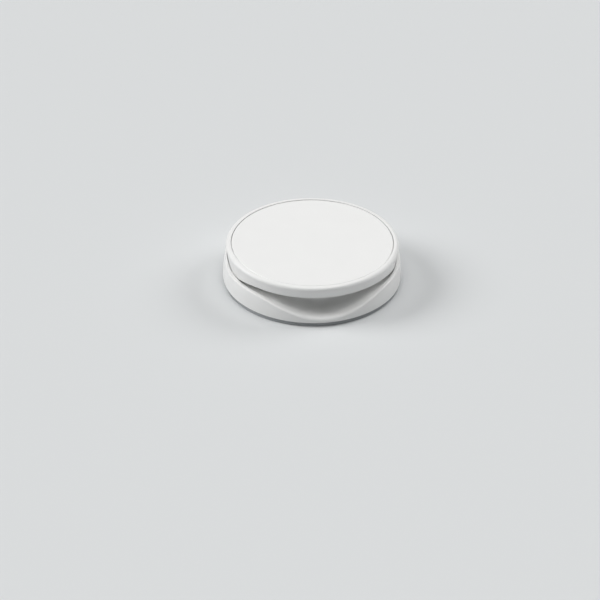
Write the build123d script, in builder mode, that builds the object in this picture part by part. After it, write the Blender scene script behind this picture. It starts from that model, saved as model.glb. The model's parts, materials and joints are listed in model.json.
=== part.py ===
"""Collapsible phone grip, modelled collapsed: a pull-out cap on a folded accordion in a round base.

Millimetres. The origin is the centre of the adhesive face, +Z points away from it,
and the finger scoop faces -Y.
"""

import os
from math import cos, hypot, pi, radians, sin, sqrt, tan

from build123d import *

os.makedirs("parts", exist_ok=True)

# Cap: a tapered disc with a skirt, cored out below
cap_radius = 21.05
cap_height = 5.45
cap_taper = 9.5           # degrees, narrower below
cap_edge_radius = 0.75
cap_foot_chamfer = 0.18   # along the arch and the skirt's foot
cap_wall = 1.4
ceiling_thickness = 1.4
side_gap = 0.15           # skirt to the rim's inner wall
seat_gap = 0.15           # skirt to the deck

# Finger arch, cut through the front of the skirt
arch_inset = 0.85         # side of the arch, inside the cap's radius
arch_corner_width = 5.4
arch_crown_height = 2.45  # above the skirt's foot
arch_corner_height = 2.2
arch_back = 6.5           # wall behind the arch, in front of the axis

# Top panel, let into the cap
panel_border = 1.2
panel_thickness = 0.8
panel_gap = 0.15
panel_sink = 0.05
panel_edge = 0.12

# Base housing: a crowned wall round the deck that carries the cap
base_overhang = 0.67      # base beyond the cap
crown_radius = 28.0
crown_height = 1.1        # widest level of the wall, above the pad
deck_height = 3.9         # above the pad
deck_thickness = 1.3
base_wall = 1.3
foot_chamfer = 0.12

# Crest of the housing's wall: its height above the pad at angles from the scoop's middle
scoop_height = 1.2
shoulder_height = 4.95
rim_height = 6.65
scoop_half_angle = 54.0
rise_start = 79.0
rise_end = 100.0
crest_sections = 25       # between the front and the back

# Rounding of the crest's outer edge
scoop_round = 0.85
shoulder_round = 0.35
rim_round = 0.12
round_overrun = 0.03      # the rounding runs out just past the wall
scoop_root_radius = 1.6   # hollow corner where the scoop meets the well's wall

# Adhesive pad
pad_margin = 0.37         # pad inside the base's edge
pad_thickness = 1.1

# Bellows: an accordion with a flange below and a collar above
bellows_radius = 12.3
bellows_taper = 1.7       # how much narrower the last fold is than the first
fold_count = 3
fold_wall = 0.4
flange_width = 1.55       # clamped beyond the well
flange_thickness = 0.8
collar_thickness = 0.8
collar_width = 1.5        # beyond the last fold's inner edge
bellows_gap = 0.35        # folds to the wall round them

# Base plate, under the flange
plate_thickness = 1.0
plate_ring_width = 1.2
lug_count = 3
lug_width = 4.0
lug_reach = 0.8

# Retainer, a button on a split stem that holds the collar to the cap
retainer_thickness = 0.9
retainer_grip = 1.3       # over the collar's inner edge
retainer_bevel = 0.3      # round the button's face
retainer_gap = 1.05       # button to the folds round it
stem_radius = 2.9
stem_depth = 0.8          # into the ceiling
stem_slot = 0.8
stem_lead = 0.3           # chamfer that leads the stem in
boss_wall = 1.7

# Coring pockets, under the deck and under the cap
pocket_pitch = 30.0       # degrees
first_base_pocket = 60.0  # middle of the first pocket, from the scoop's middle
first_cap_pocket = 90.0
rib_width = 1.4
pocket_corner_radius = 0.5

# Clearance of located pieces in their seats, and how near an edge must lie to be on a surface
fit_gap = 0.1
touch = 0.015

# Levels
plate_top = pad_thickness + plate_thickness
flange_top = plate_top + flange_thickness
deck = pad_thickness + deck_height
cap_foot = deck + seat_gap
cap_top = cap_foot + cap_height
panel_floor = cap_top - panel_sink - panel_thickness
ceiling = panel_floor - ceiling_thickness
collar_foot = ceiling - collar_thickness
boss_foot = collar_foot + fit_gap
stem_top = ceiling + stem_depth
above = cap_top + cap_height

# Radii
base_radius = cap_radius + base_overhang
pad_radius = base_radius - pad_margin
recess_radius = cap_radius - panel_border
panel_radius = recess_radius - panel_gap
well_radius = bellows_radius + fold_wall / 2 + bellows_gap
flange_radius = well_radius + flange_width - fit_gap
plate_radius = well_radius + flange_width + fit_gap
well_wall_radius = plate_radius + lug_reach + 2 * fit_gap
stem_bore = stem_radius + fit_gap / 2
boss_radius = stem_bore + boss_wall
collar_bore = boss_radius + fit_gap
retainer_radius = collar_bore + retainer_grip
fold_bore = retainer_radius + retainer_gap
fold_depth = bellows_radius - bellows_taper - fold_bore
flange_bore = bellows_radius - fold_depth - fold_wall
collar_radius = fold_bore + collar_width
cap_ring_radius = well_radius + cap_wall
beyond = 2 * base_radius


def cap_side(height):
    """Radius of the cap's tapered side at a height."""
    return cap_radius - (cap_top - cap_edge_radius - height) * tan(radians(cap_taper))


def on_cap_side(edge):
    """Whether an edge runs along the cap's side, below its top."""
    middle = edge @ 0.5
    return middle.Z < ceiling and abs(hypot(middle.X, middle.Y) - cap_side(middle.Z)) < touch


def base_side(height):
    """Radius of the base's crowned side at a height."""
    rise = height - pad_thickness - crown_height
    return base_radius - crown_radius + sqrt(crown_radius**2 - rise**2)


def ease(start, end, angle):
    """0 before start, 1 after end, and half a wave between them."""
    share = min(max((angle - start) / (end - start), 0), 1)
    return (1 - cos(pi * share)) / 2


def along_crest(at_scoop, at_shoulder, at_rim, angle):
    """A size of the crest at an angle from the scoop's middle."""
    size = at_scoop + (at_shoulder - at_scoop) * ease(0, scoop_half_angle, angle)
    return size + (at_rim - at_shoulder) * ease(rise_start, rise_end, angle)


def radial_plane(angle):
    """Upright plane through the axis, with its x axis outward at an angle from -Y."""
    turn = radians(angle)
    return Plane(origin=(0, 0, 0), x_dir=(sin(turn), -cos(turn), 0), z_dir=(-cos(turn), -sin(turn), 0))


def crest_section(angle):
    """What is cut off above the crest: level inside, rounded over the outer edge."""
    height = pad_thickness + along_crest(scoop_height, shoulder_height, rim_height, angle)
    rounding = along_crest(scoop_round, shoulder_round, rim_round, angle)
    outside = base_side(height - rounding) + round_overrun
    root = well_wall_radius + scoop_root_radius
    with BuildSketch(radial_plane(angle)) as section:
        with BuildLine():
            Line((well_wall_radius, above), (well_wall_radius, height + scoop_root_radius))
            RadiusArc((well_wall_radius, height + scoop_root_radius), (root, height), -scoop_root_radius)
            Line((root, height), (outside - rounding, height))
            RadiusArc((outside - rounding, height), (outside, height - rounding), rounding)
            Line((outside, height - rounding), (beyond, height - rounding))
            Line((beyond, height - rounding), (beyond, above))
            Line((beyond, above), (well_wall_radius, above))
        make_face()
    return section.sketch


def coring(inner, outer, floor, roof, first_middle):
    """Pockets between ribs, with their middles from one angle off the front round to the other."""
    half_pitch = radians(pocket_pitch / 2)
    with BuildSketch(Plane.XY.offset(floor), mode=Mode.PRIVATE) as pocket:
        Circle(outer)
        Circle(inner, mode=Mode.SUBTRACT)
        with Locations((rib_width / 2 / sin(half_pitch), 0)):
            Triangle(a=2 * outer * tan(half_pitch), b=outer / cos(half_pitch), c=outer / cos(half_pitch),
                     rotation=90, align=(Align.CENTER, Align.MAX), mode=Mode.INTERSECT)
        fillet(pocket.vertices(), pocket_corner_radius)
    with BuildPart() as pockets:
        with BuildSketch(Plane.XY.offset(floor)):
            sweep_angle = 360 - 2 * first_middle
            with PolarLocations(0, round(sweep_angle / pocket_pitch) + 1,
                                first_middle - 90, sweep_angle, endpoint=True):
                add(pocket.sketch_local)
        extrude(amount=roof - floor)
    return pockets.part


# Adhesive pad
with BuildPart() as adhesive_pad:
    with BuildSketch():
        Circle(pad_radius)
    extrude(amount=pad_thickness)

# Base plate: a disc with a ring that centres the flange, and lugs that key it in the housing
with BuildPart() as base_plate:
    with BuildSketch(Plane.XY.offset(pad_thickness)):
        Circle(plate_radius - fit_gap)
        with PolarLocations(0, lug_count, start_angle=90):
            Rectangle(plate_radius + lug_reach, lug_width, align=(Align.MIN, Align.CENTER))
    extrude(amount=plate_thickness)
    with BuildSketch(Plane.XY.offset(plate_top)):
        Circle(flange_bore - fit_gap)
        Circle(flange_bore - fit_gap - plate_ring_width, mode=Mode.SUBTRACT)
    extrude(amount=flange_thickness)

# Cutter over the housing's crest, right half
with BuildPart() as crest_cutter:
    for step in range(crest_sections):
        add(crest_section(180 * step / (crest_sections - 1)))
    loft()

# Base housing
with BuildPart() as base_housing:
    foot_radius = base_side(pad_thickness)
    lip = base_side(above)
    with BuildSketch(Plane.XZ):
        with BuildLine():
            Line((plate_radius, pad_thickness), (foot_radius - foot_chamfer, pad_thickness))
            Line((foot_radius - foot_chamfer, pad_thickness),
                 (base_side(pad_thickness + foot_chamfer), pad_thickness + foot_chamfer))
            RadiusArc((base_side(pad_thickness + foot_chamfer), pad_thickness + foot_chamfer),
                      (lip, above), -crown_radius)
            Line((lip, above), (well_radius, above))
            Line((well_radius, above), (well_radius, flange_top))
            Line((well_radius, flange_top), (well_radius + flange_width, flange_top))
            Line((well_radius + flange_width, flange_top), (well_radius + flange_width, plate_top))
            Line((well_radius + flange_width, plate_top), (plate_radius, plate_top))
            Line((plate_radius, plate_top), (plate_radius, pad_thickness))
        make_face()
    revolve(axis=Axis.Z)
    with BuildSketch(Plane.XZ):
        Polygon((0, deck), (cap_side(deck) + side_gap, deck), (cap_side(above) + side_gap, above),
                (0, above), align=None)
    revolve(axis=Axis.Z, mode=Mode.SUBTRACT)
    add(crest_cutter.part, mode=Mode.SUBTRACT)
    add(mirror(crest_cutter.part, Plane.YZ), mode=Mode.SUBTRACT)
    add(coring(well_wall_radius + base_wall, base_radius - base_wall, pad_thickness,
               deck - deck_thickness, first_base_pocket), mode=Mode.SUBTRACT)
    with BuildSketch(Plane.XY.offset(pad_thickness)):
        with PolarLocations(0, lug_count, start_angle=90):
            Rectangle(plate_radius + lug_reach + fit_gap, lug_width + 2 * fit_gap,
                      align=(Align.MIN, Align.CENTER))
    extrude(amount=plate_thickness, mode=Mode.SUBTRACT)

# Bellows: flat rings joined by turned-up walls at their inner and outer edges in turn
with BuildPart() as bellows:
    turns = 2 * fold_count + 1
    fold_pitch = (collar_foot - flange_top) / turns
    with BuildSketch(Plane.XZ):
        for turn in range(turns):
            outer = bellows_radius - bellows_taper * turn / turns
            level = flange_top + turn * fold_pitch
            with Locations((outer - (0 if turn % 2 else fold_depth), level)):
                Rectangle(fold_wall, fold_pitch + fold_wall, align=(Align.CENTER, Align.MIN))
            if turn:
                with Locations((outer - fold_depth - fold_wall / 2, level)):
                    Rectangle(fold_depth + fold_wall, fold_wall, align=Align.MIN)
        Polygon((flange_bore, plate_top), (flange_radius, plate_top), (flange_radius, flange_top),
                (flange_bore, flange_top), align=None)
        Polygon((collar_bore, collar_foot), (collar_radius, collar_foot), (collar_radius, ceiling),
                (collar_bore, ceiling), align=None)
    revolve(axis=Axis.Z)

# Retainer: a button whose split stem holds in the cap's boss
with BuildPart() as retainer:
    with BuildSketch(Plane.XY.offset(collar_foot - retainer_thickness)):
        Circle(retainer_radius)
    extrude(amount=retainer_thickness)
    chamfer(edges().group_by(Axis.Z)[0], retainer_bevel)
    with BuildSketch(Plane.XY.offset(collar_foot)):
        Circle(stem_radius)
    extrude(amount=stem_top - collar_foot)
    chamfer(edges().group_by(Axis.Z)[-1], stem_lead)
    with BuildSketch(Plane.XY.offset(collar_foot)):
        with PolarLocations(0, 2, angular_range=180):
            Rectangle(2 * stem_radius, stem_slot)
    extrude(amount=stem_top - collar_foot, mode=Mode.SUBTRACT)

# Cutter for the finger arch, clear of the ring round the bellows
with BuildPart() as finger_arch:
    arch_side = cap_radius - arch_inset
    shoulder_x = arch_side - arch_corner_width
    with BuildSketch(Plane.XZ.offset(arch_back)):
        with BuildLine():
            crown = ThreePointArc((-shoulder_x, cap_foot + arch_corner_height),
                                  (0, cap_foot + arch_crown_height),
                                  (shoulder_x, cap_foot + arch_corner_height))
            right = TangentArc(crown @ 1, (arch_side, cap_foot), tangent=crown % 1)
            left = TangentArc(crown @ 0, (-arch_side, cap_foot), tangent=-(crown % 0))
            Polyline(right @ 1, (arch_side, deck - deck_height), (-arch_side, deck - deck_height), left @ 1)
        make_face()
    extrude(amount=beyond)
    with BuildSketch():
        Circle(cap_ring_radius)
    extrude(amount=above, mode=Mode.SUBTRACT)

# Cap
with BuildPart() as cap:
    with BuildSketch(Plane.XZ):
        with BuildLine():
            shoulder = cap_top - cap_edge_radius
            Line((0, cap_foot), (cap_side(cap_foot), cap_foot))
            Line((cap_side(cap_foot), cap_foot), (cap_radius, shoulder))
            RadiusArc((cap_radius, shoulder), (cap_radius - cap_edge_radius, cap_top), -cap_edge_radius)
            Line((cap_radius - cap_edge_radius, cap_top), (0, cap_top))
            Line((0, cap_top), (0, cap_foot))
        make_face()
    revolve(axis=Axis.Z)
    with BuildSketch(Plane.XY.offset(panel_floor)):
        Circle(recess_radius)
    extrude(amount=above, mode=Mode.SUBTRACT)
    with BuildSketch(Plane.XY.offset(cap_foot)):
        Circle(well_radius)
    extrude(amount=ceiling - cap_foot, mode=Mode.SUBTRACT)
    add(finger_arch.part, mode=Mode.SUBTRACT)
    chamfer(edges().filter_by(on_cap_side), cap_foot_chamfer)
    add(coring(cap_ring_radius, cap_side(cap_foot) - cap_wall, cap_foot, ceiling, first_cap_pocket),
        mode=Mode.SUBTRACT)
    with BuildSketch(Plane.XY.offset(boss_foot)):
        Circle(boss_radius)
    extrude(amount=ceiling - boss_foot)
    with BuildSketch(Plane.XY.offset(boss_foot)):
        Circle(stem_bore)
    extrude(amount=stem_top + fit_gap - boss_foot, mode=Mode.SUBTRACT)

# Top panel
with BuildPart() as top_panel:
    with BuildSketch(Plane.XY.offset(panel_floor)):
        Circle(panel_radius)
    extrude(amount=panel_thickness)
    chamfer(edges().group_by(Axis.Z)[-1], panel_edge)

pieces = {
    "adhesive_pad": adhesive_pad,
    "base_plate": base_plate,
    "base_housing": base_housing,
    "bellows": bellows,
    "retainer": retainer,
    "cap": cap,
    "top_panel": top_panel,
}
for name, piece in pieces.items():
    piece.part.label = name
    export_step(piece.part, f"parts/{name}.step")
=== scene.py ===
"""Collapsible phone grip: camera, light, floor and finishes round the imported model.

Metres, in the model's own frame: the adhesive face is at z = 0 and the finger scoop faces -Y.
The bellows and the foam pad are soft, so they are modelled here as meshes.
"""

import json
from math import cos, pi, radians, sin

import bmesh
import bpy
from mathutils import Matrix, Vector


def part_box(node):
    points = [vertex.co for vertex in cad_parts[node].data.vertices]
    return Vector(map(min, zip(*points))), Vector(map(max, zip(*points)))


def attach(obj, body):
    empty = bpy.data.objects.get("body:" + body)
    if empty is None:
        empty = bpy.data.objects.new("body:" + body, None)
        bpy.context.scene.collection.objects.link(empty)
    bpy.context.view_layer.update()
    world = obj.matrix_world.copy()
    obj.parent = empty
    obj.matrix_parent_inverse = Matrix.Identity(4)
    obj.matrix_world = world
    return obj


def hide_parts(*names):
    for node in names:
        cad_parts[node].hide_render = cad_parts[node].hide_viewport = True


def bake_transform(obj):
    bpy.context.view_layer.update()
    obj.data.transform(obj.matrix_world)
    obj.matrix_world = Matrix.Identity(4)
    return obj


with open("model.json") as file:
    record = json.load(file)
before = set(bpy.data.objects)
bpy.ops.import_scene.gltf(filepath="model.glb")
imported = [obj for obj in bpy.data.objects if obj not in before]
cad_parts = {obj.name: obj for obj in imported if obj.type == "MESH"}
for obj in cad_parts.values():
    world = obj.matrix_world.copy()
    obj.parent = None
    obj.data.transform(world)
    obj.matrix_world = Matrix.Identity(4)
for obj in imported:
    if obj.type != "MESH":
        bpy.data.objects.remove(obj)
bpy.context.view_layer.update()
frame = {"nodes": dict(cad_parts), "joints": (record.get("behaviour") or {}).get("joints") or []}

mm = 0.001

# Camera of the photograph
camera_azimuth = radians(-9.0)
camera_elevation = radians(32.71)
camera_roll = radians(0.59)
camera_distance = 1.2058
camera_aim = Vector((-4.32, -9.04, 0)) * mm
camera_lens = 297.8
camera_sensor = 36.0
camera_near = 0.05
camera_far = 20.0

# Light: soft lamps far off, by azimuth, elevation and width in degrees,
# with the share of white that each gives a surface square to it
sky_level = 0.04
sky_colour = (0.96, 0.985, 1.0)
lamps = {
    "overhead": (0, 90, 50, 0.29),
    "front": (0, 72, 42, 0.16),
    "left": (-104, 35, 31, 0.58),
    "right": (106, 35, 31, 0.34),
}

# Floor
floor_radius = 4.0
floor_colour = (0.69, 0.705, 0.71)
floor_roughness = 0.8
floor_segments = 64

# Pull-out joint
travel = frame["joints"][0]["range_m"][1]

# Bellows, with its folds as they are when it is pulled out
bellows_radius = 12.3 * mm
bellows_taper = 1.7 * mm
fold_depth = 3.5 * mm
fold_count = 3
skin = 0.55 * mm
fold_rounding = 0.8 * mm
flange_thickness = 0.8 * mm
flange_bore = 8.4 * mm
collar_thickness = 0.8 * mm
collar_bore = 4.75 * mm
collar_radius = 8.6 * mm

# Foam pad
pad_bulge = 0.06 * mm
pad_rounding = 0.12 * mm
pad_corner_cut = 0.3      # share of the rounding left at its middle
film_thickness = 0.1 * mm
film_fade = 0.2           # share of the film's thickness over which it turns into foam

# Moulded plastic of each piece: colour, size and depth of the grain, roughness
plastics = {
    "cap_plastic": ((0.9, 0.9, 0.89), 0.14 * mm, 0.004 * mm, 0.42),
    "panel_plastic": ((0.91, 0.91, 0.9), 0.1 * mm, 0.003 * mm, 0.4),
    "base_plastic": ((0.9, 0.9, 0.89), 0.14 * mm, 0.004 * mm, 0.42),
    "inner_plastic": ((0.82, 0.82, 0.81), 0.2 * mm, 0.003 * mm, 0.35),
}
painted = {
    "cap": "cap_plastic",
    "top_panel": "panel_plastic",
    "base_housing": "base_plastic",
    "base_plate": "inner_plastic",
    "retainer": "inner_plastic",
}
plastic_mottling = 6 * mm
plastic_shade = 0.975     # darkest mottling, as a share of the colour
plastic_cloud = 2.5 * mm  # patches of more and less gloss
gloss_drift = 0.04

# Rubber of the bellows
rubber_colour = (0.84, 0.84, 0.83)
rubber_mottling = 3 * mm
rubber_shade = 0.95
rubber_grain = 0.12 * mm
rubber_depth = 0.006 * mm
rubber_roughness = (0.55, 0.68)
rubber_sheen = 0.15

# Foam of the pad and the film on its faces
foam_colour = (0.42, 0.435, 0.45)
painted_pit_shade = 0.72         # painted shade at the middle of a cell, in the pit that the bump makes
foam_cell = 0.16 * mm
foam_depth = 0.03 * mm
foam_roughness = 0.9
film_colour = (0.55, 0.56, 0.57)
film_roughness = 0.4

# Noise: detail of blotches and of the plastic's grain, and the range that nearly all values lie in
blotch_detail = 2.0
grain_detail = 3.0
noise_low = 0.3
noise_high = 0.7

# Largest usual distance of a point to its cell's middle, in cells
cell_reach = 0.7

# Meshes
round_segments = 160
rounding_steps = 6
wall_steps = 5
sharp_angle = radians(40)
axis_gap = 0.02 * mm      # hole left at the middle of a turned disc
halvings = 50             # steps of the search in folded()


def direction(azimuth, elevation):
    """Unit vector towards a camera or lamp at an azimuth from -Y and an elevation."""
    return Vector((sin(azimuth) * cos(elevation), -cos(azimuth) * cos(elevation), sin(elevation)))


def facing(place, aim, roll=0.0):
    """Matrix of a camera or lamp at a place, which looks at its aim."""
    turn = (place - aim).to_track_quat("Z", "Y").to_matrix().to_4x4()
    return Matrix.Translation(place) @ turn @ Matrix.Rotation(roll, 4, "Z")


def add_camera():
    """The photograph's camera."""
    data = bpy.data.cameras.new("camera")
    data.lens = camera_lens
    data.sensor_width = camera_sensor
    data.clip_start = camera_near
    data.clip_end = camera_far
    camera = bpy.data.objects.new("camera", data)
    place = camera_aim + camera_distance * direction(camera_azimuth, camera_elevation)
    camera.matrix_world = facing(place, camera_aim, camera_roll)
    bpy.context.scene.collection.objects.link(camera)
    bpy.context.scene.camera = camera


def add_lamps():
    """Soft lamps, the same all over the floor."""
    for name, (azimuth, elevation, width, level) in lamps.items():
        data = bpy.data.lights.new(name, "SUN")
        data.angle = radians(width)
        data.energy = level * pi
        lamp = bpy.data.objects.new(name, data)
        place = direction(radians(azimuth), radians(elevation))
        lamp.matrix_world = facing(place, Vector((0, 0, 0)))
        bpy.context.scene.collection.objects.link(lamp)


def add_sky():
    """Even light from all round, seen as white by the camera."""
    world = bpy.data.worlds.new("studio")
    bpy.context.scene.world = world
    world.use_nodes = True
    nodes = Nodes(world.node_tree)
    path = nodes.add("ShaderNodeLightPath")
    strength = nodes.add("ShaderNodeMapRange")
    nodes.link(path.outputs["Is Camera Ray"], strength.inputs["Value"])
    strength.inputs["To Min"].default_value = sky_level
    strength.inputs["To Max"].default_value = 1.0
    background = world.node_tree.nodes["Background"]
    background.inputs["Color"].default_value = (*sky_colour, 1)
    nodes.link(strength.outputs[0], background.inputs["Strength"])


class Nodes:
    """Adds and links the nodes of one tree."""

    def __init__(self, tree):
        self.tree = tree

    def add(self, kind, **settings):
        node = self.tree.nodes.new(kind)
        for name, value in settings.items():
            setattr(node, name, value)
        return node

    def link(self, source, target):
        self.tree.links.new(source, target)


def material(name):
    """A material with an empty tree but for its shader."""
    made = bpy.data.materials.new(name)
    made.use_nodes = True
    return made, Nodes(made.node_tree), made.node_tree.nodes["Principled BSDF"]


def noise(nodes, place, size, detail=blotch_detail):
    """Noise with blotches or grains of a size, as a socket."""
    texture = nodes.add("ShaderNodeTexNoise")
    texture.inputs["Scale"].default_value = 1 / size
    texture.inputs["Detail"].default_value = detail
    nodes.link(place, texture.inputs["Vector"])
    return texture.outputs["Fac"]


def mapped(nodes, value, low, high, to_low, to_high):
    """A value carried from one range to another and held there, as a socket."""
    node = nodes.add("ShaderNodeMapRange")
    nodes.link(value, node.inputs["Value"])
    node.inputs["From Min"].default_value = low
    node.inputs["From Max"].default_value = high
    node.inputs["To Min"].default_value = to_low
    node.inputs["To Max"].default_value = to_high
    return node.outputs["Result"]


def shades(nodes, factor, dark, light):
    """Colour between two shades, as a socket."""
    mix = nodes.add("ShaderNodeMix", data_type="RGBA")
    nodes.link(factor, mix.inputs["Factor"])
    mix.inputs["A"].default_value = (*dark, 1)
    mix.inputs["B"].default_value = (*light, 1)
    return mix.outputs["Result"]


def bump(nodes, height, depth):
    """Surface relief of a depth, as a normal socket."""
    node = nodes.add("ShaderNodeBump")
    node.inputs["Strength"].default_value = 1.0
    node.inputs["Distance"].default_value = depth
    nodes.link(height, node.inputs["Height"])
    return node.outputs["Normal"]


def moulded(name, colour, grain, depth, roughness):
    """Satin moulded plastic: fine eroded grain, faint mottling, and gloss that drifts a little."""
    made, nodes, shader = material(name)
    place = nodes.add("ShaderNodeTexCoord").outputs["Object"]
    mottling = noise(nodes, place, plastic_mottling)
    dark = [plastic_shade * part for part in colour]
    nodes.link(shades(nodes, mottling, dark, colour), shader.inputs["Base Color"])
    grains = noise(nodes, place, grain, grain_detail)
    cloud = noise(nodes, place, plastic_cloud)
    drift = mapped(nodes, cloud, noise_low, noise_high, roughness - gloss_drift, roughness + gloss_drift)
    nodes.link(drift, shader.inputs["Roughness"])
    nodes.link(bump(nodes, grains, depth), shader.inputs["Normal"])
    return made


def rubber():
    """Soft matt elastomer of the bellows."""
    made, nodes, shader = material("bellows_rubber")
    place = nodes.add("ShaderNodeTexCoord").outputs["Object"]
    mottling = noise(nodes, place, rubber_mottling)
    dark = [rubber_shade * part for part in rubber_colour]
    nodes.link(shades(nodes, mottling, dark, rubber_colour), shader.inputs["Base Color"])
    grains = noise(nodes, place, rubber_grain)
    drift = mapped(nodes, mottling, noise_low, noise_high, *rubber_roughness)
    nodes.link(drift, shader.inputs["Roughness"])
    nodes.link(bump(nodes, grains, rubber_depth), shader.inputs["Normal"])
    shader.inputs["Sheen Weight"].default_value = rubber_sheen
    return made


def foam(top):
    """Closed-cell foam between two thin adhesive films, up to the pad's top, with painted shade in the
    pits of its cells.
    """
    made, nodes, shader = material("pad_foam")
    place = nodes.add("ShaderNodeTexCoord").outputs["Object"]
    cells = nodes.add("ShaderNodeTexVoronoi")
    cells.inputs["Scale"].default_value = 1 / foam_cell
    nodes.link(place, cells.inputs["Vector"])
    distance = cells.outputs["Distance"]
    # The middle of each cell, where the bump sinks a pit, is painted darker: painted shade.
    painted_pit_factor = mapped(nodes, distance, 0, cell_reach, 0, 1)
    dark = [painted_pit_shade * part for part in foam_colour]
    height = nodes.add("ShaderNodeSeparateXYZ")
    nodes.link(place, height.inputs[0])
    level = height.outputs["Z"]
    near = (1 - film_fade) * film_thickness
    far = (1 + film_fade) * film_thickness
    film = nodes.add("ShaderNodeMath", operation="MAXIMUM")
    nodes.link(mapped(nodes, level, near, far, 1, 0), film.inputs[0])
    nodes.link(mapped(nodes, level, top - far, top - near, 0, 1), film.inputs[1])
    mix = nodes.add("ShaderNodeMix", data_type="RGBA")
    nodes.link(film.outputs[0], mix.inputs["Factor"])
    nodes.link(shades(nodes, painted_pit_factor, dark, foam_colour), mix.inputs["A"])
    mix.inputs["B"].default_value = (*film_colour, 1)
    nodes.link(mix.outputs["Result"], shader.inputs["Base Color"])
    drift = mapped(nodes, film.outputs[0], 0, 1, foam_roughness, film_roughness)
    nodes.link(drift, shader.inputs["Roughness"])
    nodes.link(bump(nodes, distance, foam_depth), shader.inputs["Normal"])
    return made


def paint(node, finish):
    """Gives a CAD node its finish."""
    for slot in frame["nodes"][node].material_slots:
        slot.material = finish


def turned(name, profile, finish):
    """Ring turned round the Z axis from a closed profile of (radius, height) points."""
    mesh = bpy.data.meshes.new(name)
    form = bmesh.new()
    rings = []
    for step in range(round_segments):
        angle = 2 * pi * step / round_segments
        rings.append([form.verts.new((radius * cos(angle), radius * sin(angle), height))
                      for radius, height in profile])
    for step in range(round_segments):
        here = rings[step]
        there = rings[(step + 1) % round_segments]
        for corner in range(len(profile)):
            after = (corner + 1) % len(profile)
            form.faces.new((here[corner], there[corner], there[after], here[after]))
    bmesh.ops.recalc_face_normals(form, faces=form.faces)
    form.to_mesh(mesh)
    form.free()
    mesh.polygons.foreach_set("use_smooth", [True] * len(mesh.polygons))
    mesh.set_sharp_from_angle(angle=sharp_angle)
    piece = bpy.data.objects.new(name, mesh)
    bpy.context.scene.collection.objects.link(piece)
    mesh.materials.append(finish)
    return piece


def rounded(corners, rounding):
    """Line of points through corners, with each inner corner turned into a short curve."""
    points = [corners[0]]
    for before, corner, after in zip(corners, corners[1:], corners[2:]):
        start = corner + (before - corner).normalized() * rounding
        end = corner + (after - corner).normalized() * rounding
        last = points[-1]
        for step in range(1, wall_steps):
            points.append(last.lerp(start, step / wall_steps))
        for step in range(rounding_steps + 1):
            share = step / rounding_steps
            points.append(start.lerp(corner, share).lerp(corner.lerp(end, share), share))
    last = points[-1]
    for step in range(1, wall_steps + 1):
        points.append(last.lerp(corners[-1], step / wall_steps))
    return points


def beside(line, offset):
    """The line moved sideways by an offset, to its right."""
    moved = []
    for index, point in enumerate(line):
        before = line[max(index - 1, 0)]
        after = line[min(index + 1, len(line) - 1)]
        along = (after - before).normalized()
        moved.append(point + offset * Vector((along.y, -along.x)))
    return moved


def folded(height, foot, head):
    """Height at rest of a point whose height is known with the grip pulled out."""
    low = foot - travel
    high = head + travel
    for _ in range(halvings):
        middle = (low + high) / 2
        share = min(max((middle - foot) / (head - foot), 0), 1)
        if middle + travel * share * share * (3 - 2 * share) < height:
            low = middle
        else:
            high = middle
    return middle


def add_bellows(finish):
    """Bellows whose folds are drawn pulled out, then folded to rest."""
    lowest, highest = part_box("bellows")
    flange_top = lowest.z + flange_thickness
    collar_foot = highest.z - collar_thickness
    flange_radius = highest.x
    turns = 2 * fold_count + 1
    pitch = (collar_foot + travel - flange_top) / (turns - 1)
    corners = []
    for turn in range(turns):
        outer = bellows_radius - bellows_taper * turn / turns
        corners.append(Vector((outer if turn % 2 else outer - fold_depth, flange_top + turn * pitch)))
    line = rounded(corners, fold_rounding)
    outside = beside(line, skin / 2)
    inside = beside(line, -skin / 2)
    outside[0].y = inside[0].y = flange_top
    outside[-1].y = inside[-1].y = collar_foot + travel
    profile = [
        (flange_radius, lowest.z),
        (flange_radius, flange_top),
        *outside,
        (collar_radius, collar_foot + travel),
        (collar_radius, highest.z + travel),
        (collar_bore, highest.z + travel),
        (collar_bore, collar_foot + travel),
        *reversed(inside),
        (flange_bore, flange_top),
        (flange_bore, lowest.z),
    ]
    rest = [(radius, folded(height, flange_top, collar_foot)) for radius, height in profile]
    piece = turned("bellows_folds", rest, finish)
    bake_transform(piece)
    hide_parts("bellows")


def add_pad(finish):
    """Foam pad with soft edges and a slightly bulging side."""
    lowest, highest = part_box("adhesive_pad")
    radius = highest.x
    middle = (lowest.z + highest.z) / 2
    cut = pad_corner_cut * pad_rounding
    profile = [
        (axis_gap, lowest.z),
        (radius - pad_rounding, lowest.z),
        (radius - cut, lowest.z + cut),
        (radius, lowest.z + pad_rounding),
        (radius + pad_bulge, middle),
        (radius, highest.z - pad_rounding),
        (radius - cut, highest.z - cut),
        (radius - pad_rounding, highest.z),
        (axis_gap, highest.z),
    ]
    piece = turned("foam_pad", profile, finish)
    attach(piece, "base")
    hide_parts("adhesive_pad")


def add_floor():
    """Plain pale floor."""
    mesh = bpy.data.meshes.new("floor")
    form = bmesh.new()
    bmesh.ops.create_circle(form, cap_ends=True, segments=floor_segments, radius=floor_radius)
    form.to_mesh(mesh)
    form.free()
    floor = bpy.data.objects.new("floor", mesh)
    bpy.context.scene.collection.objects.link(floor)
    made, _, shader = material("floor")
    shader.inputs["Base Color"].default_value = (*floor_colour, 1)
    shader.inputs["Roughness"].default_value = floor_roughness
    mesh.materials.append(made)


bpy.context.scene.view_settings.view_transform = "Standard"
add_camera()
add_sky()
add_lamps()
add_floor()

finishes = {name: moulded(name, *finish) for name, finish in plastics.items()}
for node, name in painted.items():
    paint(node, finishes[name])
add_bellows(rubber())
add_pad(foam(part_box("adhesive_pad")[1].z))
